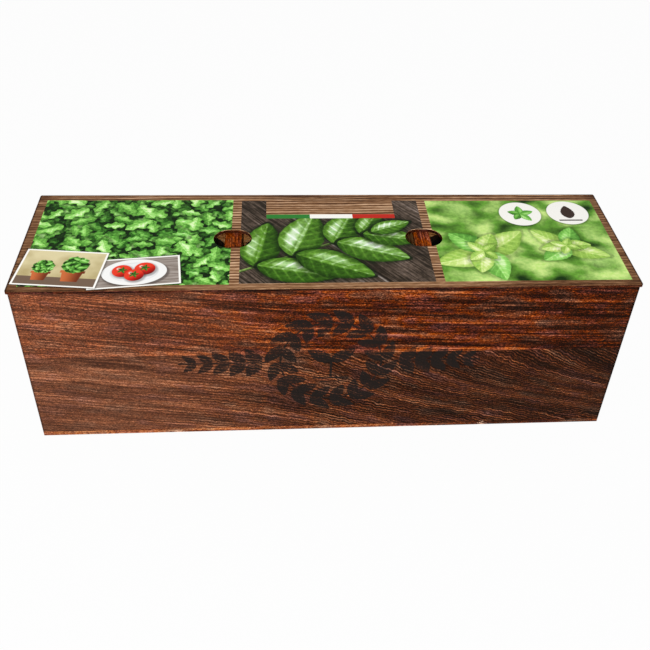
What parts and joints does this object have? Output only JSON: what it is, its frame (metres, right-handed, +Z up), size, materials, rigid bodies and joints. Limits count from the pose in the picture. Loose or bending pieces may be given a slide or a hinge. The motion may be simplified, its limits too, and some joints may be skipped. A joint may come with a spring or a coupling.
{
  "type": "indoor herb planter",
  "caption": "Long low windowsill planter box of stained boards with a lift-off printed lid, finger holes, dividers and plastic liners that hold coir and seed packets.",
  "frame": {"origin": "middle of the underside of the base panel", "axes": "+X along the box to the right, -Y towards the front, +Z up"},
  "size_m": [0.33, 0.091, 0.106],
  "materials": {
    "stained_wood": "brushed and stained, satin",
    "base_wood": "stained, matt",
    "brad_steel": "bright drawn",
    "lid_board": "dense fibre board, matt",
    "printed_sheet": "printed, satin laminate",
    "liner_plastic": "thermoformed, satin",
    "coir": "pressed fibre, rough",
    "packet_paper": "kraft paper, matt"
  },
  "bodies": {
    "box": {"front_upper_strip": "stained_wood", "front_lower_strip": "stained_wood", "back_upper_strip": "stained_wood", "back_lower_strip": "stained_wood", "left_end_upper_strip": "stained_wood", "left_end_lower_strip": "stained_wood", "right_end_upper_strip": "stained_wood", "right_end_lower_strip": "stained_wood", "left_divider": "stained_wood", "right_divider": "stained_wood", "base_panel": "base_wood", "base_brads": "brad_steel"},
    "lid": {"lid_panel": "lid_board", "lid_print": "printed_sheet", "lid_left_batten": "stained_wood", "lid_right_batten": "stained_wood"},
    "left_liner": {"liner_left": "liner_plastic", "coir_block_left": "coir", "seed_packet_left": "packet_paper"},
    "middle_liner": {"liner_middle": "liner_plastic", "coir_block_middle": "coir", "seed_packet_middle": "packet_paper"},
    "right_liner": {"liner_right": "liner_plastic", "coir_block_right": "coir", "seed_packet_right": "packet_paper"}
  },
  "joints": [
    {"name": "lid_lift", "type": "slide", "parent": "box", "child": "lid", "axis": [0, 0, 1], "range_m": [0, 0.12]},
    {"name": "left_liner_lift", "type": "slide", "parent": "box", "child": "left_liner", "axis": [0, 0, 1], "range_m": [0, 0.01]},
    {"name": "middle_liner_lift", "type": "slide", "parent": "box", "child": "middle_liner", "axis": [0, 0, 1], "range_m": [0, 0.01]},
    {"name": "right_liner_lift", "type": "slide", "parent": "box", "child": "right_liner", "axis": [0, 0, 1], "range_m": [0, 0.01]}
  ]
}
